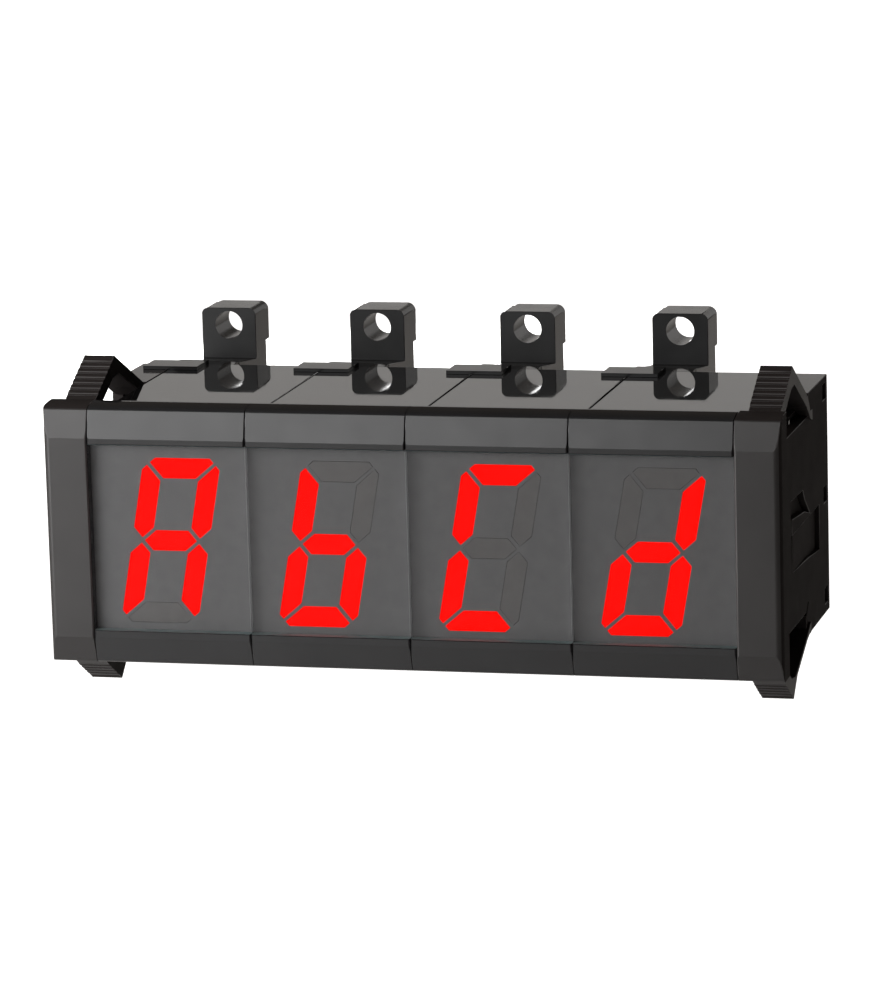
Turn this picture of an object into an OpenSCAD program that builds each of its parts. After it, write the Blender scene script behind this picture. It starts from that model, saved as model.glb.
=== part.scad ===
// Row of seven segment display units between two snap-in end covers, for mounting in a panel cut-out.
// The origin is the middle of the panel plane, X runs along the row, the digits face -Y and +Z is up.

/* [Display units] */
// Number of digit units side by side
unit_count = 4; // [1:1:4]
// Distance from one unit to the next
unit_w = 23; // [21:0.5:30]
// Gap between neighbouring units
seam_gap = 0.1; // [0.05:0.05:0.3]
// Height of the case behind the front
case_h = 34.4; // [33:0.2:38]
// Length of the case behind the panel plane
case_l = 39.5; // [38:0.5:60]
// Wall of a case
case_wall = 1.2; // [0.8:0.1:2]

/* [Front] */
// Thickness of the front flange of the end covers
flange_t = 5; // [4:0.1:8]
// How far the flange of a unit ends before the panel plane
unit_relief = 0.5; // [0.2:0.1:1.5]
// Height of the front above the case
lip_top = 1.8; // [1.4:0.1:4]
// Height of the front below the case
lip_bottom = 0.8; // [0.6:0.1:4]
// Height of the upper facet
upper_facet_h = 3.9; // [2:0.1:6]
// Height of the lower facet
lower_facet_h = 3; // [2:0.1:6]
// How far a facet leans back
facet_lean = 0.8; // [0.3:0.1:2]
// Height of the rounding behind each facet
crown_h = 0.8; // [0.3:0.1:1.2]
// Bevel along the upright front edges of a unit
edge_break = 0.2; // [0.05:0.05:0.5]
// How far the side of a case stands back from the side of its front
side_relief = 0.1; // [0.05:0.05:0.3]

/* [Window] */
// Frame strip above the window
strip_top = 0.8; // [0.4:0.1:3]
// Frame strip below the window
strip_bottom = 1; // [0.4:0.1:3]
// Thickness of the smoked pane
pane_t = 1.5; // [1:0.1:2.5]
// Depth and height of the ledge behind the pane
ledge = 0.6; // [0.3:0.1:1]
// Clearance round pieces that drop into a seat
seat_gap = 0.05; // [0.02:0.01:0.1]

/* [Digits] */
// Room in the window above a character
room_above = 2; // [0.5:0.05:4]
// Room in the window below a character
room_below = 1.05; // [0.5:0.05:4]
// Width of a character, measured square to its slant
digit_w = 11.35; // [9:0.05:13]
// Width of a segment
seg_w = 2.95; // [2:0.05:3.5]
// Gap between neighbouring segments
seg_gap = 0.5; // [0.3:0.05:1]
// Bevel on the outer corners of a character
seg_chamfer = 0.65; // [0.2:0.05:1]
// Slant of the characters
slant = 10.2; // [0:0.1:12]
// Character centre left of the middle of its unit
digit_left = 0.15; // [0:0.01:1]

/* [Inside] */
// Depth of the reflector block
reflector_t = 9; // [7:0.5:12]
// Thickness of the light bars at the front of the reflector
bar_t = 1.2; // [0.8:0.1:3]
// Thickness of the circuit boards
board_t = 1.6; // [1:0.1:2]
// Diameter of a light-emitting diode
led_d = 1.8; // [1:0.1:2]
// Length of a driver chip
chip_l = 20; // [10:0.5:22]
// Height of a driver chip
chip_w = 6.4; // [4:0.1:9]
// Thickness of a driver chip
chip_t = 3.3; // [1.5:0.1:4]
// Distance between the two driver chips, middle to middle
chip_apart = 15; // [10:0.5:22]
// Diameter of the dimple at the end of a driver chip
dimple_d = 1.6; // [1:0.1:3]
// Depth of that dimple
dimple_l = 0.5; // [0.1:0.05:0.8]

/* [Rear cover] */
// Thickness of the plate that closes the case
rear_t = 2; // [1.5:0.1:4]
// How far the collar stands out behind the case
collar_l = 2.5; // [1.5:0.1:4]
// Thickness of the joining tongue on the case top
tongue_t = 0.55; // [0.4:0.05:1]
// How far the tongue reaches over the neighbour
tongue_over = 3.7; // [2:0.1:4]
// How far the tongue reaches over its own unit
tongue_own = 4.6; // [3:0.1:8]
// Length of the tongue on the case top
tongue_grip = 5.3; // [3:0.1:10]
// Length of the root of the tongue on the collar
tongue_root = 0.7; // [0.5:0.1:2]

/* [Edge connector] */
// Middle of the connector from the left side of its unit
conn_x = 4.475; // [4.4:0.025:6]
// Width of the connector body
conn_w = 8.35; // [6:0.05:8.35]
// Height of the connector body at its front
conn_h = 34.4; // [32:0.2:36]
// How far the body slopes in at the top and bottom, towards its flange
conn_drop = 1.2; // [0:0.1:1.5]
// Length of the connector body in front of its flange
conn_l = 9.4; // [8:0.1:14]
// Width of the connector flange
ear_w = 8.35; // [8:0.05:8.7]
// Thickness of the connector flange
ear_t = 5.4; // [3:0.1:8]
// Thickness of the pad behind each ear
pad_t = 1.8; // [0.5:0.1:3]
// How far an ear stands out past the connector body
ear_reach = 6.45; // [6:0.05:9]
// Distance of a mounting hole from the end of its ear
hole_inset = 2.6; // [2.4:0.05:3]
// Diameter of a mounting hole
hole_d = 4.2; // [3:0.1:4.4]
// Height of an ear pad from the end of its ear
pad_h = 5.75; // [5:0.05:6]
// Radius of the ear corners
ear_r = 1; // [0.3:0.1:2]
// Radius of the pad corners
pad_r = 1.3; // [0.3:0.1:2]
// Radius of the hollow where an ear rises from the body
root_r = 0.3; // [0.2:0.1:1]
// Gap between the collar and the connector
plug_gap = 0.3; // [0.2:0.05:0.5]
// How far the board reaches into the connector
plug_l = 7; // [4:0.5:7.5]
// Height of the edge of the board that plugs in
edge_h = 24; // [20:0.5:26]
// Number of contacts in each row
contact_count = 6; // [4:1:6]
// Distance from one contact to the next
contact_pitch = 3.96; // [2.5:0.01:4.2]
// Length of a contact tail behind the connector
tail_l = 4.3; // [2:0.1:6]
// Width of a contact tail
tail_w = 1.6; // [1:0.1:3]
// Thickness of a contact tail
tail_t = 0.4; // [0.2:0.05:0.8]
// Diameter of the eyelet in a contact tail
eyelet_d = 0.9; // [0.4:0.05:1.2]

/* [End covers] */
// Distance from the last unit to the outer side of a cover
cover_w = 5.3; // [5:0.1:8]
// How far the flange stands out past the side of a cover
cover_lip = 1.2; // [0.6:0.1:3]
// Wall of a cover
cover_wall = 1.6; // [1:0.1:2]
// Width of the rounding on the outer front edge
edge_round_w = 1.05; // [0.4:0.05:2]
// Depth of the rounding on the outer front edge
edge_round_l = 1.3; // [0.4:0.1:2]
// Width of a snap loop
loop_w = 4.5; // [3:0.1:4.5]
// How far the right loops stand out past the side of their cover
loop_proud = 0.4; // [0.2:0.1:1]
// Thickness of the ramp of a snap loop
loop_t = 2.1; // [1.6:0.05:2.3]
// Thickness of the arm behind the crest of a top loop
top_arm_t = 1.55; // [1:0.05:2]
// Thickness of the arm behind the crest of a bottom loop
bottom_arm_t = 0.6; // [0.5:0.05:1]
// Height above the case at which a ramp leaves the panel plane
ramp_start = 1.7; // [1:0.1:1.8]
// Height of the crest of the top loop above the case
top_crest_h = 6.4; // [5:0.1:8]
// Distance of that crest behind the panel plane
top_crest_y = 9.6; // [9:0.1:12]
// Depth of the crest of the bottom loop below the case
bottom_crest_h = 5.8; // [5:0.1:8]
// Distance of that crest behind the panel plane
bottom_crest_y = 7.2; // [7:0.1:9]
// Distance of the root of the top loop behind the panel plane
top_root_y = 23.5; // [22:0.5:28]
// Distance of the root of the bottom loop behind the panel plane
bottom_root_y = 20.4; // [19:0.2:24]
// How far in front of that root the arm of the right top loop bends
right_knee_l = 2.2; // [1:0.1:4]
// Height of that bend above the root
right_knee_h = 3.6; // [2:0.1:5]
// How far in front of its root the arm of the left top loop bends
left_knee_l = 0.4; // [0.2:0.1:1]
// Height of that bend above the root
left_knee_h = 1.6; // [1.2:0.1:2]
// How far behind its crest the arm of the bottom loop bends
bottom_knee_l = 3.2; // [2:0.1:5]
// How far inside its crest that bend lies
bottom_knee_h = 2.7; // [1:0.1:4]
// How far the arms run on into the side of the cover
arm_bite = 1.5; // [1:0.1:3]
// Length of the shelf under the top loop
shelf_l = 7.9; // [5:0.1:10]
// Thickness of that shelf
shelf_t = 0.55; // [0.4:0.05:1]
// Height of that shelf over the open side
shelf_rise = 0.4; // [0.2:0.05:0.8]
// Height of the side left open under the top loop
top_slot_h = 3.2; // [2.6:0.1:4]
// Height of the side left open over the bottom loop
bottom_slot_h = 3.6; // [2.6:0.1:4]
// Pitch of the grip ribs on the ramps of the loops
rib_pitch = 1.3; // [0.8:0.1:2]
// Depth of the grooves between those ribs
rib_depth = 0.2; // [0.1:0.05:0.4]
// Depth of the pockets and finger holds in the side
hold_depth = 1; // [0.4:0.1:1.4]
// Distance of the finger hold behind the panel plane
hold_y = 8.8; // [7:0.1:12]
// Length of the finger hold
hold_l = 15.3; // [12:0.1:18]
// Height of the finger hold
hold_h = 4.6; // [3:0.1:7]
// Width of the groove round the sunken panel under it
groove_w = 0.6; // [0.4:0.05:1]
// Length of that sunken panel
sunk_l = 22.4; // [15:0.1:24]
// Height of that sunken panel
sunk_h = 5.2; // [3:0.1:7]
// Height of a pocket near the rear edge of the side
pocket_h = 2.3; // [1:0.1:3]
// Length of a pocket near the rear edge of the side
pocket_l = 3; // [1:0.1:4]
// Width of the rim behind those pockets
pocket_rim = 0.9; // [0.4:0.1:1.2]

/* [Hidden] */
$fn = 48;
// Segments that are lit in each unit, left to right
LIT = ["abcefg", "cdefg", "adef", "bcdeg"];
UNIT_PIECES = [
    "case", "window", "reflector", "lit_segments", "unlit_segments", "leds",
    "display_board", "driver_board", "driver_chips", "rear_cover", "edge_connector", "contacts"
];
eps = 0.01;
front_y = -flange_t;
unit_rear_y = -unit_relief;
row_half = unit_count * unit_w / 2;
case_top = case_h / 2;
front_top = case_top + lip_top;
front_bottom = -case_top - lip_bottom;
facet_top = front_top - crown_h;
face_top = facet_top - upper_facet_h;
facet_bottom = front_bottom + crown_h;
face_bottom = facet_bottom + lower_facet_h;
window_top = face_top - strip_top;
window_bottom = face_bottom + strip_bottom;
pane_back_y = front_y + pane_t;
bezel_y = pane_back_y + seat_gap;
seat_y = bezel_y + ledge;
reflector_back_y = bezel_y + reflector_t;
digit_h = window_top - window_bottom - room_above - room_below;
digit_z = window_bottom + room_below + digit_h / 2;
half_w = digit_w / 2;
half_h = digit_h / 2;
mitre = seg_gap / sqrt(2);
SEGMENTS = ["a", "b", "c", "d", "e", "f", "g"];
unit_half = (unit_w - seam_gap) / 2;
case_half = unit_half - side_relief;
inner_half = case_half - case_wall;
conn_mid = conn_x - unit_w / 2;
ear_h = conn_h / 2 + ear_reach;
hole_z = ear_h - hole_inset;
pad_z = ear_h - pad_h;
display_back_y = reflector_back_y + board_t;
rear_plate_y = case_l - rear_t;
collar_back_y = case_l + collar_l;
conn_front_y = collar_back_y + plug_gap;
ear_front_y = conn_front_y + conn_l;
ear_back_y = ear_front_y + ear_t;
pad_back_y = ear_back_y + pad_t;
edge_back_y = conn_front_y + plug_l;
slot_back_y = edge_back_y + plug_gap;
cover_flange_w = cover_w + cover_lip;

// Shapes drawn in a plane and pushed along an axis

// The drawing's x becomes Y and its y becomes Z
module along_x(x0, x1) {
    translate([x0, 0, 0]) rotate([90, 0, 90]) linear_extrude(x1 - x0) children();
}

// The drawing's y becomes Z
module along_y(y0, y1) {
    translate([0, y1, 0]) rotate([90, 0, 0]) linear_extrude(y1 - y0) children();
}

module along_z(z0, z1) {
    translate([0, 0, z0]) linear_extrude(z1 - z0) children();
}

module box(low, high) {
    translate(low) cube(high - low);
}

// Points on a quarter of an ellipse with half axes a and b about a centre
function quarter(centre, a, b, start) = [
    for (t = [0:15:90]) centre + [a * cos(start + t), b * sin(start + t)]
];

function reversed(points) = [for (i = [len(points) - 1:-1:0]) points[i]];

// Front

// Outline of the front seen from the side: face, leaning facets and rounded edges
function front_outline(back_y) = concat(
    [[front_y, face_bottom], [front_y, face_top]],
    quarter([back_y, facet_top], front_y + facet_lean - back_y, crown_h, 0),
    [[back_y, front_bottom]],
    reversed(quarter([front_y + 2 * facet_lean, facet_bottom], -facet_lean, -crown_h, 0))
);

// Outline of a unit's front seen from above, with its upright front edges bevelled
module unit_plan(back_y) {
    flat = unit_half - edge_break;
    polygon([
        [-unit_half, back_y], [-unit_half, front_y + edge_break], [-flat, front_y],
        [flat, front_y], [unit_half, front_y + edge_break], [unit_half, back_y]
    ]);
}

module place_unit(k) {
    translate([(k - (unit_count + 1) / 2) * unit_w, 0, 0]) children();
}

// Pieces of one display unit, drawn about the middle of the unit

module unit_case() {
    color([0.09, 0.09, 0.1]) difference() {
        union() {
            intersection() {
                along_x(-unit_half, unit_half) polygon(front_outline(unit_rear_y));
                along_z(front_bottom, front_top) unit_plan(unit_rear_y);
            }
            box([-case_half, unit_rear_y - eps, -case_top], [case_half, case_l, case_top]);
        }
        box([-unit_w, front_y - 1, window_bottom], [unit_w, seat_y, window_top]);
        box([-inner_half, seat_y - eps, window_bottom + ledge], [inner_half, case_l, window_top - ledge]);
        box(
            [-inner_half, seat_y + ledge, case_wall - case_top],
            [inner_half, case_l + 1, case_top - case_wall]
        );
    }
}

module unit_window() {
    color([0.25, 0.22, 0.23, 0.6])
        along_z(window_bottom + seat_gap, window_top - seat_gap) unit_plan(pane_back_y);
}

// One segment of an upright character about its middle; a is the top, then clockwise, g the middle
function flip(points, sx, sz) = [for (p = points) [p[0] * sx, p[1] * sz]];
function top_segment() = [
    for (sx = [-1, 1]) each [
        for (i = sx < 0 ? [0, 1, 2] : [2, 1, 0])
            [[sx * (half_w - seg_w - mitre), half_h - seg_w],
             [sx * (half_w - seg_chamfer - mitre), half_h - seg_chamfer],
             [sx * (half_w - 2 * seg_chamfer - mitre), half_h]][i]
    ]
];
function side_segment() = [
    [half_w - seg_w, half_h - seg_w - mitre],
    [half_w - seg_chamfer, half_h - seg_chamfer - mitre],
    [half_w, half_h - 2 * seg_chamfer - mitre],
    [half_w, seg_w / 2 + mitre],
    [half_w - seg_w / 2, mitre],
    [half_w - seg_w, seg_w / 2 + mitre]
];
function middle_segment() = [
    for (sx = [-1, 1]) each [
        for (sz = [-sx, 0, sx])
            [sx * (half_w - seg_w / 2 - mitre - abs(sz) * seg_w / 2), -sz * seg_w / 2]
    ]
];
function segment(name) =
    name == "a" ? top_segment() :
    name == "b" ? side_segment() :
    name == "c" ? flip(side_segment(), 1, -1) :
    name == "d" ? flip(top_segment(), 1, -1) :
    name == "e" ? flip(side_segment(), -1, -1) :
    name == "f" ? flip(side_segment(), -1, 1) : middle_segment();

// Where a point of the upright character lies on the unit
function on_unit(p) = [p[0] + p[1] * tan(slant) - digit_left, p[1] + digit_z];

function is_lit(k, name) = len(search(name, LIT[k - 1])) > 0;

// Lowest corner of a set of points, and the size of the box round them
function low_corner(points) = [for (i = [0, 1]) min([for (p = points) p[i]])];
function extent(points) = [for (i = [0, 1]) max([for (p = points) p[i]])] - low_corner(points);

// The segments of a unit, lit ones, unlit ones or all, each made larger by grow on every side
module segment_bars(k, lit, grow, y0, y1) {
    for (name = SEGMENTS) {
        if (lit == undef || is_lit(k, name) == lit) {
            points = segment(name);
            size = extent(points);
            middle = low_corner(points) + size / 2;
            along_y(y0, y1) polygon([
                for (p = points) on_unit([
                    for (i = [0, 1]) middle[i] + (p[i] - middle[i]) * (1 + 2 * grow / size[i])
                ])
            ]);
        }
    }
}

// Block with a light well behind each segment, and a bezel as large as the pane at its front
module unit_reflector() {
    half = inner_half - seat_gap;
    color([0.16, 0.16, 0.17]) difference() {
        union() {
            box(
                [-unit_half, bezel_y, window_bottom + seat_gap],
                [unit_half, seat_y, window_top - seat_gap]
            );
            box(
                [-half, seat_y - eps, window_bottom + ledge + seat_gap],
                [half, reflector_back_y, window_top - ledge - seat_gap]
            );
        }
        segment_bars(1, undef, 0, bezel_y - 1, reflector_back_y + 1);
    }
}

module unit_lit_segments(k) {
    color([1, 0.05, 0]) segment_bars(k, true, -seat_gap, bezel_y, bezel_y + bar_t);
}

module unit_unlit_segments(k) {
    color([0.35, 0.3, 0.3]) segment_bars(k, false, -seat_gap, bezel_y, bezel_y + bar_t);
}

// Two diodes behind each segment, a share of its length from either end
module unit_leds() {
    color([0.9, 0.3, 0.25]) for (name = SEGMENTS) {
        low = low_corner(segment(name));
        size = extent(segment(name));
        for (share = [0.3, 0.7]) {
            at = on_unit([for (i = [0, 1]) low[i] + size[i] * (size[i] > seg_w + eps ? share : 0.5)]);
            translate([at[0], reflector_back_y, at[1]]) rotate([90, 0, 0]) cylinder(d = led_d, h = led_d);
        }
    }
}

module unit_display_board() {
    half = inner_half - seat_gap;
    color([0.2, 0.36, 0.2]) box(
        [-half, reflector_back_y, case_wall + seat_gap - case_top],
        [half, display_back_y, case_top - case_wall - seat_gap]
    );
}

// Upright board along the unit: full height in the case, narrower where it plugs into the connector
module unit_driver_board() {
    body_half = case_top - case_wall - seat_gap;
    end_y = rear_plate_y - plug_gap;
    half = edge_h / 2;
    color([0.2, 0.36, 0.2]) along_x(conn_mid - board_t / 2, conn_mid + board_t / 2) polygon([
        [display_back_y, -body_half], [end_y, -body_half], [end_y, -half],
        [edge_back_y - board_t, -half], [edge_back_y, board_t - half],
        [edge_back_y, half - board_t], [edge_back_y - board_t, half],
        [end_y, half], [end_y, body_half], [display_back_y, body_half]
    ]);
}

module unit_driver_chips() {
    face_x = conn_mid + board_t / 2;
    top_x = face_x + chip_t;
    y = (display_back_y + rear_plate_y - chip_l) / 2;
    color([0.07, 0.07, 0.08]) for (z = [-chip_apart / 2, chip_apart / 2]) difference() {
        box([face_x, y, z - chip_w / 2], [top_x, y + chip_l, z + chip_w / 2]);
        translate([top_x - dimple_l, y, z]) rotate([0, 90, 0]) cylinder(d = dimple_d, h = 1);
    }
}

// Plate inside the case, collar round the plugged board, and the tongue that joins the neighbour
module unit_rear_cover() {
    half = inner_half - seat_gap;
    collar_x = conn_mid - conn_w / 2;
    tongue_x = tongue_own - unit_w / 2;
    slot = board_t / 2 + 2 * seat_gap;
    color([0.11, 0.11, 0.12]) difference() {
        union() {
            box(
                [-half, rear_plate_y, case_wall + seat_gap - case_top],
                [half, case_l, case_top - case_wall - seat_gap]
            );
            box([collar_x, case_l, -case_top], [collar_x + conn_w, collar_back_y, case_top]);
            box(
                [-unit_w / 2 - tongue_over, case_l - tongue_grip, case_top],
                [tongue_x, case_l, case_top + tongue_t]
            );
            box(
                [collar_x, case_l - eps, case_top - eps],
                [tongue_x, case_l + tongue_root, case_top + tongue_t]
            );
        }
        box(
            [conn_mid - slot, rear_plate_y - 1, -edge_h / 2 - seat_gap],
            [conn_mid + slot, collar_back_y + 1, edge_h / 2 + seat_gap]
        );
    }
}

// Upright plate with its four corners rounded by r
module ear_outline(r) {
    half = ear_w / 2 - r;
    high = ear_h - r;
    polygon(concat(
        quarter([half, high], r, r, 0), quarter([-half, high], r, r, 90),
        quarter([-half, -high], r, r, 180), quarter([half, -high], r, r, 270)
    ));
}

// Body of the connector seen from the side, with the hollows where the ears rise from it
function body_outline() = let (
        front = conn_h / 2,
        back = front - conn_drop,
        centre = [ear_front_y - root_r, back + root_r]
    ) concat(
        [[conn_front_y, -front], [conn_front_y, front]],
        quarter(centre, root_r, root_r, 270),
        [[ear_front_y + eps, back + root_r], [ear_front_y + eps, -back - root_r]],
        [for (p = reversed(quarter(centre, root_r, root_r, 270))) [p[0], -p[1]]]
    );

// Card-edge socket: body with the slot, flange with an ear and a bolt hole at each end
module unit_edge_connector() {
    slot = board_t / 2 + 2 * seat_gap;
    color([0.13, 0.13, 0.14]) translate([conn_mid, 0, 0]) difference() {
        union() {
            along_x(-conn_w / 2, conn_w / 2) polygon(body_outline());
            along_y(ear_front_y, ear_back_y) ear_outline(ear_r);
            difference() {
                along_y(ear_back_y - eps, pad_back_y) ear_outline(pad_r);
                box([-ear_w, ear_back_y, -pad_z], [ear_w, pad_back_y + 1, pad_z]);
            }
        }
        box(
            [-slot, conn_front_y - 1, -edge_h / 2 - seat_gap],
            [slot, slot_back_y, edge_h / 2 + seat_gap]
        );
        for (z = [-hole_z, hole_z])
            translate([0, pad_back_y + 1, z])
                rotate([90, 0, 0]) cylinder(d = hole_d, h = ear_t + pad_t + 2);
    }
}

// Flat solder tails with an eyelet each
module unit_contacts() {
    end_y = ear_back_y + tail_l;
    color([0.85, 0.7, 0.4]) for (x = [conn_mid - conn_w / 4, conn_mid + conn_w / 4]) {
        for (i = [0:contact_count - 1]) {
            z = (i - (contact_count - 1) / 2) * contact_pitch;
            difference() {
                box([x - tail_t / 2, ear_back_y, z - tail_w / 2], [x + tail_t / 2, end_y, z + tail_w / 2]);
                translate([x - 1, end_y - tail_w / 2, z]) rotate([0, 90, 0]) cylinder(d = eyelet_d, h = 2);
            }
        }
    }
}

// End covers, drawn with x running outward from the side of the last unit

// Outline of a cover's front seen from above, with its outer front edge rounded
module cover_plan() {
    centre = [cover_flange_w - edge_round_w, front_y + edge_round_l];
    polygon(concat(
        [[seam_gap / 2, 0], [seam_gap / 2, front_y + edge_break], [seam_gap / 2 + edge_break, front_y]],
        quarter(centre, edge_round_w, edge_round_l, -90),
        [[cover_flange_w, 0]]
    ));
}

// A snap loop seen from the side, y behind the panel plane and z outward from the case:
// ribbed ramp up to the crest, sloping back down to the root, with the flex space inside
function ramp_point(crest, t) = [t * crest[0], ramp_start + t * (crest[1] - ramp_start)];
function ramp_ribs(crest) = let (
    length = norm(crest - [0, ramp_start]),
    count = floor(length / rib_pitch),
    out = [ramp_start - crest[1], crest[0]] / length
) [
    for (i = [1:count - 1]) for (j = [0, 1, 2])
        ramp_point(crest, (i * rib_pitch + (j - 1) * rib_pitch / 6) / length) - (j == 1 ? rib_depth : 0) * out
];
// The back points lead from the crest to the root, where the arm joins the side of the cover
module snap_loop(crest, back, arm_t, root) {
    start = [-1, ramp_start - crest[1] / crest[0]];
    polygon(concat(
        [start], ramp_ribs(crest), [crest], back,
        [root + [0.1, 1], root + [arm_bite, 1], root + [arm_bite, -0.5], root],
        [for (p = reversed(back)) p - [0.3 * arm_t, arm_t]],
        [crest + [0.76 * loop_t, -1.35 * loop_t], crest - [0.57 * loop_t, 1.5 * loop_t]],
        [start - [0, 1.12 * loop_t]]
    ));
}

// A cover whose loops start loop_x from the last unit; its top arm bends at the knee and ends at the root
module end_cover(loop_x, top_root, top_knee) {
    bottom_crest = [bottom_crest_y, bottom_crest_h];
    bottom_root = [bottom_root_y, -1.4];
    shelf_z = case_top - top_slot_h + shelf_rise;
    color([0.1, 0.095, 0.1]) union() {
        intersection() {
            along_x(0, cover_flange_w) polygon(front_outline(0));
            along_z(front_bottom, front_top) cover_plan();
        }
        cover_shell();
        along_x(loop_x, loop_x + loop_w) translate([0, case_top]) snap_loop(
            [top_crest_y, top_crest_h], [top_root + top_knee], top_arm_t, top_root
        );
        along_x(loop_x, loop_x + loop_w) mirror([0, 1]) translate([0, case_top]) snap_loop(
            bottom_crest,
            [bottom_crest + [bottom_knee_l, -bottom_knee_h], [bottom_root_y - 1.7, 0]],
            bottom_arm_t, bottom_root
        );
        box(
            [seam_gap / 2, top_root_y + arm_bite - shelf_l, shelf_z],
            [cover_w - cover_wall + eps, top_root_y + arm_bite, shelf_z + shelf_t]
        );
    }
}

// Side, top, bottom and rear walls; the side facing the unit is open
module cover_shell() {
    inner_x = cover_w - cover_wall;
    slit = [[-0.7, 3.2], [1.2, 4.9], [1.8, 4.7], [0, 3]];
    difference() {
        box([seam_gap / 2, -eps, -case_top], [cover_w, case_l, case_top]);
        box(
            [-1, cover_wall - flange_t, cover_wall - case_top],
            [inner_x, case_l - cover_wall, case_top - cover_wall]
        );
        box([-1, 0, case_top - top_slot_h], [cover_w + 1, top_root_y + 0.5, case_top + 1]);
        box([-1, 0, -case_top - 1], [cover_w + 1, bottom_root_y - 0.2, bottom_slot_h - case_top]);
        along_x(inner_x - 1, cover_w + 1) polygon([for (p = slit) p + [bottom_root_y, -case_top]]);
        finger_hold();
        rear_pockets();
    }
}

// Recess in the side with a bent tail, a groove down from its front end, and the sunken panel
// under it, whose floor slopes from flush at the front to its full depth at the rear
module finger_hold() {
    floor_x = cover_w - hold_depth;
    tail = [[0, 0.43], [0, 1], [0.65, 0.93], [0.75, 0.57], [1, 0], [0.73, 0.22]];
    sunk_y = hold_y + 0.7;
    groove_y = hold_y + 0.4;
    along_x(floor_x, cover_w + 1) polygon([for (p = tail) [hold_y + p[0] * hold_l, p[1] * hold_h]]);
    box(
        [floor_x, groove_y, -sunk_h - 0.4],
        [cover_w + 1, groove_y + groove_w, hold_h / 2]
    );
    intersection() {
        along_x(floor_x, cover_w + 1) polygon([
            [sunk_y, -0.4], [sunk_y + sunk_l, -0.4], [sunk_y + sunk_l, -sunk_h - 1.7],
            [sunk_y + 0.56 * sunk_l, -sunk_h - 0.9], [sunk_y, -sunk_h - 0.4]
        ]);
        along_z(-case_top, case_top) polygon([
            [cover_w, sunk_y], [cover_w - 0.7 * hold_depth, sunk_y + sunk_l],
            [cover_w + 1, sunk_y + sunk_l], [cover_w + 1, sunk_y]
        ]);
    }
}

// Pockets at the top, middle and bottom of the side, near its rear edge
module rear_pockets() {
    for (z = [case_top - 2.15, 0.1, 2.5 - case_top])
        box(
            [cover_w - hold_depth, case_l - pocket_rim - pocket_l, z - pocket_h / 2],
            [cover_w + 1, case_l - pocket_rim, z + pocket_h / 2]
        );
}

module left_end_cover() {
    translate([-row_half, 0, 0]) mirror([1, 0, 0])
        end_cover(seam_gap / 2, [top_root_y + 0.5, -1.8], [-left_knee_l, left_knee_h]);
}

module right_end_cover() {
    translate([row_half, 0, 0]) end_cover(
        cover_w + loop_proud - loop_w,
        [top_root_y, -top_slot_h - 0.3],
        [-right_knee_l, right_knee_h]
    );
}

left_end_cover();
right_end_cover();
for (k = [1:unit_count]) {
    place_unit(k) unit_case();
    place_unit(k) unit_window();
    place_unit(k) unit_reflector();
    place_unit(k) unit_lit_segments(k);
    place_unit(k) unit_unlit_segments(k);
    place_unit(k) unit_leds();
    place_unit(k) unit_display_board();
    place_unit(k) unit_driver_board();
    place_unit(k) unit_driver_chips();
    place_unit(k) unit_rear_cover();
    place_unit(k) unit_edge_connector();
    place_unit(k) unit_contacts();
}
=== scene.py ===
"""Looks of a seven segment display module: four joined digit units between two snap-in end covers.

Everything is in metres, in the frame of the CAD model: the origin is the middle of the panel plane,
X runs along the row, the digits face -Y and +Z is up.
"""

import math

import bmesh
import bpy
from mathutils import Matrix, Vector


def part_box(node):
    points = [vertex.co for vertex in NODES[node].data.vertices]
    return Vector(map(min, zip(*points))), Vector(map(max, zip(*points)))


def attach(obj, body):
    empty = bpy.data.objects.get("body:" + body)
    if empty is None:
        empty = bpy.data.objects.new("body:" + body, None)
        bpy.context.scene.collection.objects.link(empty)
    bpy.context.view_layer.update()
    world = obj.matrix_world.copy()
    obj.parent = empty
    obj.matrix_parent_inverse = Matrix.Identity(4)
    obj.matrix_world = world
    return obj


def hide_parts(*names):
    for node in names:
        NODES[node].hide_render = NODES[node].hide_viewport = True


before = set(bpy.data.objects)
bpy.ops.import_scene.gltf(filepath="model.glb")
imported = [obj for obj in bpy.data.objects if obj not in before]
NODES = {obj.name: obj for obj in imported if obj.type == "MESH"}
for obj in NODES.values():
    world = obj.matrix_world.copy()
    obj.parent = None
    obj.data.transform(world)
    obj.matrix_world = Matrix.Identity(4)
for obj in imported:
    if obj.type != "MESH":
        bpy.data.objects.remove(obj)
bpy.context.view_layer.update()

MM = 0.001
UNITS = (1, 2, 3, 4)


# ---------------------------------------------------------------- materials

# Noise scales, in waves per metre.
COLOUR_DRIFT = 90.0
POLISH_DRIFT = 240.0
FINE_GRAIN = 9000.0
MEDIUM_GRAIN = 5000.0
COARSE_GRAIN = 2500.0
PANE_HAZE = 160.0
BAR_TONE = 700.0
BAR_LIGHT = 500.0
PLATING = 1500.0
PAPER = 3.0

# Zones of a moulding, each with its axis, its middle and its reach to both sides of that.
FACETS = ("Y", -5.05 * MM, 0.95 * MM)  # the face and the leaning facets of a case
LID_DROP = 1.8 * MM  # how far the flat lid of cases and covers lies below the top of the front
LID = ("Z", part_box("unit_1_case")[1][2] - LID_DROP, 0.004 * MM)


def new_material(name):
    """An empty node material: the material, its nodes, Object coordinates and its output."""
    material = bpy.data.materials.new(name)
    material.use_nodes = True
    tree = material.node_tree
    tree.nodes.clear()
    output = tree.nodes.new("ShaderNodeOutputMaterial")
    return material, tree, add(tree, "ShaderNodeTexCoord"), output


def add(tree, kind, inputs=None, **settings):
    """A new node with its settings and input values."""
    node = tree.nodes.new(kind)
    for key, value in settings.items():
        setattr(node, key, value)
    for key, value in (inputs or {}).items():
        node.inputs[key].default_value = value
    return node


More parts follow.
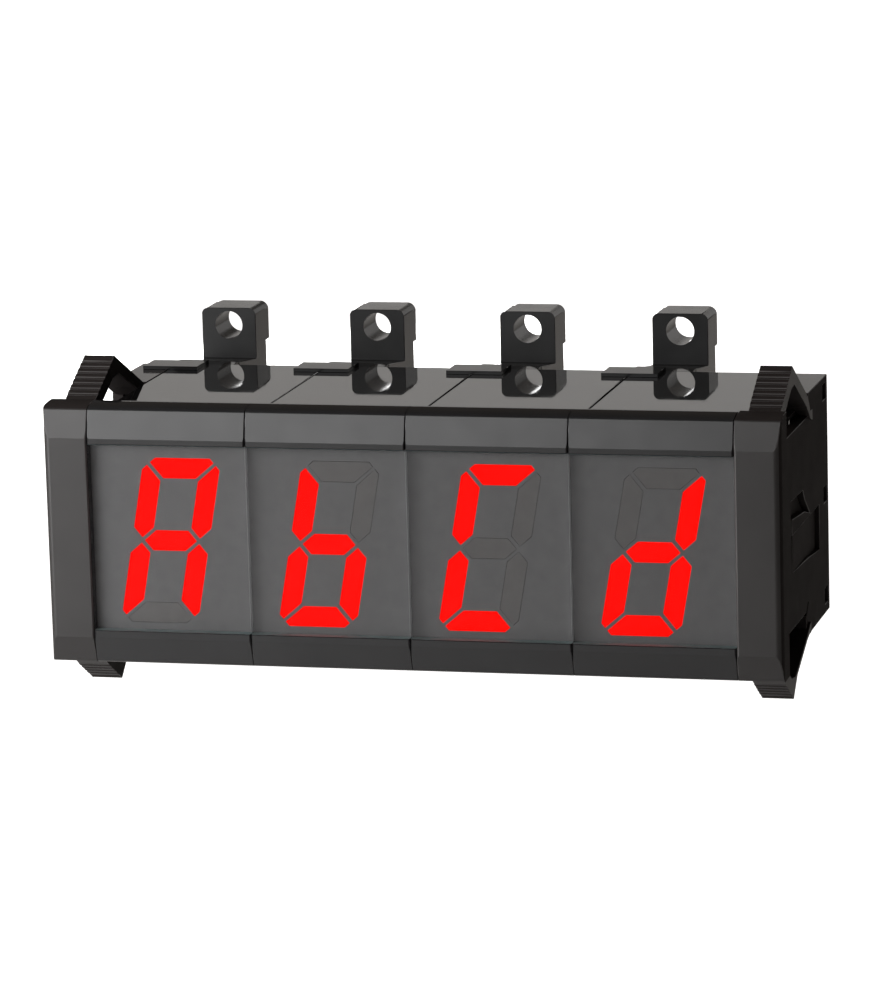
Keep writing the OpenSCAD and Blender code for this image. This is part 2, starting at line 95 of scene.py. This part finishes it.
def link(tree, source, output, target, socket):
    """Joins an output of one node to an input of another."""
    tree.links.new(source.outputs[output], target.inputs[socket])


def surface(name, inputs):
    """A material of one Principled shader: the material, its nodes, coordinates and shader."""
    material, tree, coords, output = new_material(name)
    shader = add(tree, "ShaderNodeBsdfPrincipled", inputs)
    link(tree, shader, "BSDF", output, "Surface")
    return material, tree, coords, shader


def noise_of(tree, coords, scale, detail=2.0):
    """Noise on Object coordinates."""
    noise = add(tree, "ShaderNodeTexNoise", {"Scale": scale, "Detail": detail, "Roughness": 0.5})
    link(tree, coords, "Object", noise, "Vector")
    return noise


def spread(tree, source, output, low, high, from_low=0.3, from_high=0.7):
    """Maps a value, that of a noise unless told otherwise, onto the range from low to high."""
    node = add(
        tree,
        "ShaderNodeMapRange",
        {"From Min": from_low, "From Max": from_high, "To Min": low, "To Max": high},
    )
    link(tree, source, output, node, "Value")
    return node


def tint(tree, shader, noise, colour, colour_worn, low=0.3, high=0.7):
    """Lets the base colour go from colour, at low in the noise, to colour_worn, at high."""
    ramp = add(tree, "ShaderNodeValToRGB")
    start, end = ramp.color_ramp.elements
    start.position = low
    start.color = (*colour, 1.0)
    end.position = high
    end.color = (*colour_worn, 1.0)
    link(tree, noise, "Fac", ramp, "Fac")
    link(tree, ramp, "Color", shader, "Base Color")


def inside(tree, coords, zone):
    """1 inside a zone, 0 outside."""
    axis, middle, reach = zone
    place = add(tree, "ShaderNodeSeparateXYZ")
    link(tree, coords, "Object", place, "Vector")
    node = add(tree, "ShaderNodeMath", {1: middle, 2: reach}, operation="COMPARE")
    link(tree, place, axis, node, 0)
    return node


def moulded(
    name,
    colour,
    colour_worn,
    rough,
    zone=None,
    zone_rough=0.0,
    grain=FINE_GRAIN,
    specular=0.5,
    bump=0.1,
):
    """Injection moulded plastic with a fine grain.

    The colour drifts between colour and colour_worn, and the roughness round rough, or round
    zone_rough inside the zone. The grain is a bump of noise.
    """
    material, tree, coords, shader = surface(name, {"Specular IOR Level": specular})
    drift = noise_of(tree, coords, COLOUR_DRIFT, 3.0)
    tint(tree, shader, drift, colour, colour_worn, 0.35, 0.68)

    total = add(tree, "ShaderNodeMath", {0: rough}, operation="ADD", use_clamp=True)
    if zone:
        finish = spread(tree, inside(tree, coords, zone), "Value", rough, zone_rough, 0.0, 1.0)
        link(tree, finish, "Result", total, 0)
    wander = spread(tree, noise_of(tree, coords, POLISH_DRIFT, 4.0), "Fac", -0.02, 0.03)
    link(tree, wander, "Result", total, 1)
    link(tree, total, "Value", shader, "Roughness")

    relief = add(tree, "ShaderNodeBump", {"Strength": bump, "Distance": 0.01 * MM})
    link(tree, noise_of(tree, coords, grain, 1.0), "Fac", relief, "Height")
    link(tree, relief, "Normal", shader, "Normal")
    return material


def smoked_plastic(name):
    """Smoked clear plastic: a dark film that lets part of the light through, with a faint haze."""
    film = {"Base Color": (0.003, 0.003, 0.003, 1.0), "Specular IOR Level": 0.10, "Alpha": 0.24}
    material, tree, coords, shader = surface(name, film)
    haze = spread(tree, noise_of(tree, coords, PANE_HAZE, 3.0), "Fac", 0.10, 0.16)
    link(tree, haze, "Result", shader, "Roughness")
    return material


def diffuser(name, colour, colour_worn, rough=0.6):
    """Milky or painted plastic: a bar that is switched off, the face round it, a frosted edge."""
    milk = {"Roughness": rough, "Specular IOR Level": 0.15}
    material, tree, coords, shader = surface(name, milk)
    tint(tree, shader, noise_of(tree, coords, BAR_TONE, 3.0), colour, colour_worn)
    return material


def glowing(name):
    """Red light bar that is switched on: deep red plastic that gives an even red light."""
    glow = {
        "Base Color": (0.05, 0.0001, 0.0, 1.0),
        "Roughness": 0.6,
        "Specular IOR Level": 0.1,
        "Emission Color": (1.0, 0.0015, 0.0, 1.0),
    }
    material, tree, coords, shader = surface(name, glow)
    power = spread(tree, noise_of(tree, coords, BAR_LIGHT), "Fac", 1.82, 1.98)
    link(tree, power, "Result", shader, "Emission Strength")
    return material


def mirroring(name, colour, rough, alpha=1.0):
    """Plated metal, or another face that mirrors, with a slight drift in its polish."""
    plate = {"Base Color": (*colour, 1.0), "Metallic": 1.0, "Alpha": alpha}
    material, tree, coords, shader = surface(name, plate)
    cloud = noise_of(tree, coords, PLATING, 3.0)
    wander = spread(tree, cloud, "Fac", rough - 0.05, rough + 0.12)
    link(tree, wander, "Result", shader, "Roughness")
    return material


FINISH = {
    "cover_black": moulded(
        "cover_black_plastic",
        colour=(0.020, 0.0168, 0.0162),
        colour_worn=(0.025, 0.0210, 0.0205),
        rough=0.70,
        zone=LID,
        zone_rough=0.06,
        specular=0.12,
        bump=0.22,
    ),
    # Glossier front of the end covers, also used on the lower loop ramps and loop flanks; its
    # colour is lighter than the rest of the cover as painted light, to make these faces look more
    # lit.
    "cover_front_painted_lighter": moulded(
        "cover_front_plastic_painted_lighter",
        colour=(0.024, 0.0220, 0.0218),
        colour_worn=(0.029, 0.0266, 0.0264),
        rough=0.42,
        bump=0.22,
    ),
    # Painted highlight: a lighter colour laid on the bevels along the end covers' edges, in place
    # of the light that their rounded edges catch.
    "cover_bevel_painted_highlight": moulded(
        "cover_bevel_painted_highlight_plastic",
        colour=(0.060, 0.056, 0.056),
        colour_worn=(0.095, 0.090, 0.090),
        rough=0.42,
        specular=0.4,
    ),
    "case_black": moulded(
        "case_black_plastic",
        colour=(0.016, 0.016, 0.017),
        colour_worn=(0.020, 0.020, 0.021),
        rough=0.025,
        zone=FACETS,
        zone_rough=0.305,
        grain=MEDIUM_GRAIN,
        bump=0.015,
    ),
    "rear_black": moulded(
        "rear_cover_black_plastic",
        colour=(0.014, 0.014, 0.0145),
        colour_worn=(0.018, 0.018, 0.0185),
        rough=0.06,
        specular=0.12,
        bump=0.06,
    ),
    "smoked_pane": smoked_plastic("smoked_pane_plastic"),
    "pane_edge": diffuser("frosted_pane_edge", (0.235, 0.300, 0.305), (0.265, 0.340, 0.345)),
    "reflector_grey": diffuser(
        "reflector_face_paint", (0.302, 0.302, 0.307), (0.330, 0.330, 0.335)
    ),
    "lit_red": glowing("lit_bar_plastic"),
    "unlit_bar": diffuser("unlit_bar_plastic", (0.300, 0.292, 0.290), (0.325, 0.317, 0.315)),
    "led_resin": diffuser("diode_resin", (0.55, 0.50, 0.45), (0.62, 0.57, 0.50), rough=0.25),
    "board_green": moulded(
        "board_green_laminate",
        colour=(0.012, 0.075, 0.030),
        colour_worn=(0.018, 0.095, 0.040),
        rough=0.35,
        grain=COARSE_GRAIN,
    ),
    "chip_black": moulded(
        "chip_black_resin",
        colour=(0.022, 0.022, 0.023),
        colour_worn=(0.030, 0.030, 0.031),
        rough=0.6,
    ),
    "connector_black": moulded(
        "connector_black_plastic",
        colour=(0.018, 0.018, 0.0185),
        colour_worn=(0.028, 0.028, 0.0285),
        rough=0.17,
        specular=0.62,
        bump=0.2,
    ),
    # Matt forward faces of a connector; their colour is lighter than the rest of the moulding as
    # painted light, to make these faces look lit.
    "connector_front_painted_lighter": moulded(
        "connector_matt_front_painted_lighter",
        colour=(0.026, 0.026, 0.0265),
        colour_worn=(0.040, 0.040, 0.0405),
        rough=0.50,
        grain=COARSE_GRAIN,
        specular=0.10,
        bump=0.3,
    ),
    "contact_tin": mirroring("contact_tin_plate", (0.72, 0.71, 0.68), rough=0.34),
    "pane_side": mirroring("polished_pane_side", (0.95, 0.96, 0.97), rough=0.10, alpha=0.34),
}

# The finish of each kind of piece in a unit.
SLOT_OF = {
    "case": "case_black",
    "window": "smoked_pane",
    "reflector": "reflector_grey",
    "lit_segments": "lit_red",
    "unlit_segments": "unlit_bar",
    "leds": "led_resin",
    "display_board": "board_green",
    "driver_board": "board_green",
    "driver_chips": "chip_black",
    "rear_cover": "case_black",
    "edge_connector": "connector_black",
    "contacts": "contact_tin",
}


def slot_of(node):
    """The slot of a CAD node, from its name: that of a cover, or of a kind of piece in a unit."""
    if node.endswith("end_cover"):
        return "cover_black"
    return SLOT_OF[node.split("_", 2)[2]]


def dress(obj, material):
    """Gives an object one material in all its slots."""
    slots = obj.data.materials
    if not slots:
        slots.append(material)
    for index in range(len(slots)):
        slots[index] = material


for node, obj in NODES.items():
    dress(obj, FINISH[slot_of(node)])


# ---------------------------------------------------------------- pieces with softened edges

SAME_POINT = 0.001 * MM  # points that are nearer to each other are merged
SAME_FACE = math.radians(0.6)  # faces that turn less than this at their edge are joined
STEEP = math.radians(35.0)  # an edge that turns more than this stays crisp or takes a bevel
FOLD = math.radians(5.0)  # an edge that turns more than this stays crisp between broad faces
BROAD = 0.7 * MM
FLAT_WEIGHT = 90  # how far the large faces at a corner set its normal, from 1 to 100

# How much of a face's normal points along an axis.
MOSTLY = 0.5
LEANING = 0.55
SQUARELY = 0.9

LOOP_Z = 18.2 * MM  # a flank of an end cover whose middle is further out is that of a snap loop
LOWER_RAMP_Z = -17.2 * MM  # the ramps of the lower snap loops lie below this


def crease(edge, turn):
    """True where an edge is to stay crisp: a steep one, or a fold between two broad flat faces.

    A face's breadth is its area over the length of the edge.
    """
    if abs(turn) > STEEP:
        return True
    length = max(edge.calc_length(), SAME_POINT)
    breadth = min(face.calc_area() for face in edge.link_faces) / length
    return abs(turn) > FOLD and breadth > BROAD


def shell(node, finishes, zone=None, bevel_width=0.0, shortest=1.2 * MM, bevel_finish=-1):
    """A copy of a CAD node's mesh that replaces it, its doubles merged and its flat faces joined,
    with a small bevel along every steep outer edge that is longer than shortest.

    The finish of a face is finishes[zone(face)]. The bevels take the finish whose index is given
    last, or where that index is -1 that of the faces beside them; on the end covers that finish is
    a painted highlight.
    """
    mesh = NODES[node].data.copy()
    mesh.name = node + "_shell"
    solid = bmesh.new()
    solid.from_mesh(mesh)
    bmesh.ops.remove_doubles(solid, verts=solid.verts, dist=SAME_POINT)
    bmesh.ops.dissolve_limit(
        solid, angle_limit=SAME_FACE, verts=solid.verts, edges=solid.edges
    )
    weight = solid.edges.layers.float.new("bevel_weight_edge")
    for edge in solid.edges:
        if len(edge.link_faces) != 2:
            continue
        turn = edge.calc_face_angle_signed(0.0)
        edge.smooth = not crease(edge, turn)
        if bevel_width and turn > STEEP and edge.calc_length() > shortest:
            edge[weight] = 1.0
    for face in solid.faces:
        face.smooth = True
        face.material_index = zone(face) if zone else 0

    # The finishes go in before the faces are written back, so that the zones are kept.
    mesh.materials.clear()
    for finish in finishes:
        mesh.materials.append(FINISH[finish])
    solid.to_mesh(mesh)
    solid.free()
    piece = bpy.data.objects.new(node + "_shell", mesh)
    bpy.context.scene.collection.objects.link(piece)

    if bevel_width:
        bevel = piece.modifiers.new("softened_edges", "BEVEL")
        bevel.limit_method = "WEIGHT"
        bevel.width = bevel_width
        bevel.segments = 2
        bevel.use_clamp_overlap = False
        # On the end covers the bevels take the painted highlight finish.
        bevel.material = bevel_finish
    normals = piece.modifiers.new("flat_faces_stay_flat", "WEIGHTED_NORMAL")
    normals.keep_sharp = True
    normals.weight = FLAT_WEIGHT

    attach(piece, "root")
    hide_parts(node)


def cover_gloss_and_painted_light_zone(face):
    """1 for the shinier faces of an end cover, which are its front, the ramps of the lower snap
    loops and the flanks of all loops, and which also take a lighter colour as painted light;
    0 for the rest."""
    middle = face.calc_center_median()
    ahead = face.normal.y < -LEANING and (middle.y < 0.0 or middle.z < LOWER_RAMP_Z)
    flank = abs(face.normal.x) > SQUARELY and abs(middle.z) > LOOP_Z
    return 1 if ahead or flank else 0


def connector_matt_and_painted_light_zone(face):
    """1 for the matt faces of a connector that look forward, which are also given a lighter
    colour as painted light, 0 for the glossy rest.
    """
    return 1 if face.normal.y < -MOSTLY else 0


def pane_zone(face):
    """0 for the clear faces of a pane, 1 for its frosted upper and lower edges, 2 for its polished
    sides, which mirror the inside of the pane as clear plastic does."""
    if abs(face.normal.y) > MOSTLY:
        return 0
    return 2 if abs(face.normal.x) > MOSTLY else 1


# The bevels of the end covers take a painted highlight.
for cover in ("left_end_cover", "right_end_cover"):
    shell(
        cover,
        ("cover_black", "cover_front_painted_lighter", "cover_bevel_painted_highlight"),
        cover_gloss_and_painted_light_zone,
        bevel_width=0.09 * MM,
        shortest=1.0 * MM,
        bevel_finish=2,
    )
for k in UNITS:
    shell(f"unit_{k}_case", ("case_black",), bevel_width=0.1 * MM)
    shell(f"unit_{k}_rear_cover", ("rear_black",), bevel_width=0.05 * MM)
    shell(
        f"unit_{k}_edge_connector",
        ("connector_black", "connector_front_painted_lighter"),
        connector_matt_and_painted_light_zone,
        bevel_width=0.15 * MM,
    )
    shell(f"unit_{k}_window", ("smoked_pane", "pane_edge", "pane_side"), pane_zone)


# ---------------------------------------------------------------- stage, lights and camera

FLOOR_Z = -90 * MM
BACK_Y = 1.7
BACK_TOP = 0.50
HALF = 4.0  # half the width of the stage


def stage_sheet(name, start, end, colour, seen, mirrored):
    """A flat sheet of pale matt paper across the stage, from the (y, z) start to the (y, z) end.

    It adds seen to its brightness for the camera, and mirrored to what a glossy or clear surface
    shows of it.
    """
    corners = [(-HALF, *start), (HALF, *start), (HALF, *end), (-HALF, *end)]
    mesh = bpy.data.meshes.new(name)
    mesh.from_pydata(corners, [], [tuple(range(len(corners)))])
    obj = bpy.data.objects.new(name, mesh)
    bpy.context.scene.collection.objects.link(obj)

    material, tree, coords, output = new_material(name + "_paper")
    tone = spread(tree, noise_of(tree, coords, PAPER), "Fac", colour - 0.005, colour + 0.005)
    paint = add(tree, "ShaderNodeBsdfDiffuse")
    link(tree, tone, "Result", paint, "Color")

    path = add(tree, "ShaderNodeLightPath")
    mirror = add(tree, "ShaderNodeMath", operation="MAXIMUM")
    link(tree, path, "Is Glossy Ray", mirror, 0)
    link(tree, path, "Is Transmission Ray", mirror, 1)
    in_mirror = add(tree, "ShaderNodeMath", {1: mirrored}, operation="MULTIPLY")
    link(tree, mirror, "Value", in_mirror, 0)
    in_camera = add(tree, "ShaderNodeMath", {1: seen}, operation="MULTIPLY")
    link(tree, path, "Is Camera Ray", in_camera, 0)
    power = add(tree, "ShaderNodeMath", operation="ADD")
    link(tree, in_mirror, "Value", power, 0)
    link(tree, in_camera, "Value", power, 1)
    glow = add(tree, "ShaderNodeEmission")
    link(tree, power, "Value", glow, "Strength")

    both = add(tree, "ShaderNodeAddShader")
    link(tree, paint, "BSDF", both, 0)
    link(tree, glow, "Emission", both, 1)
    link(tree, both, "Shader", output, "Surface")
    obj.data.materials.append(material)


stage_sheet("floor", (-HALF, FLOOR_Z), (HALF, FLOOR_Z), colour=0.68, seen=0.95, mirrored=0.05)
stage_sheet(
    "backdrop", (BACK_Y, FLOOR_Z), (BACK_Y, BACK_TOP), colour=0.80, seen=0.93, mirrored=0.29
)


def world_light():
    """The room: white to the camera, a dim warm grey to everything else."""
    world = bpy.data.worlds.new("studio")
    bpy.context.scene.world = world
    world.use_nodes = True
    tree = world.node_tree
    tree.nodes.clear()
    output = tree.nodes.new("ShaderNodeOutputWorld")
    path = add(tree, "ShaderNodeLightPath")
    dim = add(tree, "ShaderNodeBackground", {"Color": (1.0, 0.86, 0.75, 1.0), "Strength": 0.048})
    white = add(tree, "ShaderNodeBackground", {"Color": (1.0, 1.0, 1.0, 1.0), "Strength": 1.0})
    room = add(tree, "ShaderNodeMixShader")
    link(tree, path, "Is Camera Ray", room, 0)
    link(tree, dim, "Background", room, 1)
    link(tree, white, "Background", room, 2)
    link(tree, room, "Shader", output, "Surface")


def standing(place, right, up, back):
    """The matrix of an object at a place, from the directions of its X, Y and Z axes."""
    return Matrix.Translation(place) @ Matrix(
        (
            (right.x, up.x, back.x, 0),
            (right.y, up.y, back.y, 0),
            (right.z, up.z, back.z, 0),
            (0, 0, 0, 1),
        )
    )


def soft_light(name, place, width, height, watts, aim=(0, 0, 0)):
    """A large soft lamp at a place, facing a point."""
    data = bpy.data.lights.new(name, "AREA")
    data.shape = "RECTANGLE"
    data.size = width
    data.size_y = height
    data.energy = watts
    lamp = bpy.data.objects.new(name, data)
    bpy.context.scene.collection.objects.link(lamp)
    toward = (Vector(aim) - Vector(place)).normalized()
    side = toward.cross(Vector((0, 0, 1))).normalized()
    lamp.matrix_world = standing(place, side, side.cross(toward), -toward)
    return lamp


def place_camera():
    """The camera of the photograph: its direction, tilt and distance were fitted to the edges of
    the object. Yaw turns it about +Z, pitch tips it down, roll turns it about its own axis."""
    yaw, pitch, roll = math.radians(14.322), math.radians(11.348), math.radians(-1.6035)
    target = Vector((4.496, -5.0, 6.663)) * MM
    distance = 694.506 * MM
    forward = Vector(
        (-math.sin(yaw) * math.cos(pitch), math.cos(yaw) * math.cos(pitch), -math.sin(pitch))
    )
    level = Vector((math.cos(yaw), math.sin(yaw), 0))
    upright = level.cross(forward)
    right = math.cos(roll) * level + math.sin(roll) * upright
    up = -math.sin(roll) * level + math.cos(roll) * upright
    data = bpy.data.cameras.new("camera")
    data.sensor_fit = "VERTICAL"
    data.sensor_height = 36.0
    data.lens = 181.47
    data.clip_start = 0.01
    data.clip_end = 20.0
    camera = bpy.data.objects.new("camera", data)
    bpy.context.scene.collection.objects.link(camera)
    camera.matrix_world = standing(target - distance * forward, right, up, -forward)
    bpy.context.scene.camera = camera


world_light()
soft_light("key_light", (-0.187, -0.453, 0.116), width=0.28, height=0.24, watts=0.88)
soft_light("side_light", (-0.19, -0.13, 0.05), width=0.12, height=0.16, watts=0.47)
rear = soft_light(
    "rear_light",
    (-0.36, 0.60, -0.035),
    width=0.50,
    height=0.09,
    watts=1.2,
    aim=(0, 0.04, -0.035),
)
rear.visible_camera = False
over = soft_light("ceiling_light", (-1.0, 0.6, 1.5), width=1.6, height=1.6, watts=12.0)
over.visible_glossy = False
over.data.color = (1.0, 0.92, 0.84)
place_camera()
bpy.context.scene.view_settings.view_transform = "Standard"
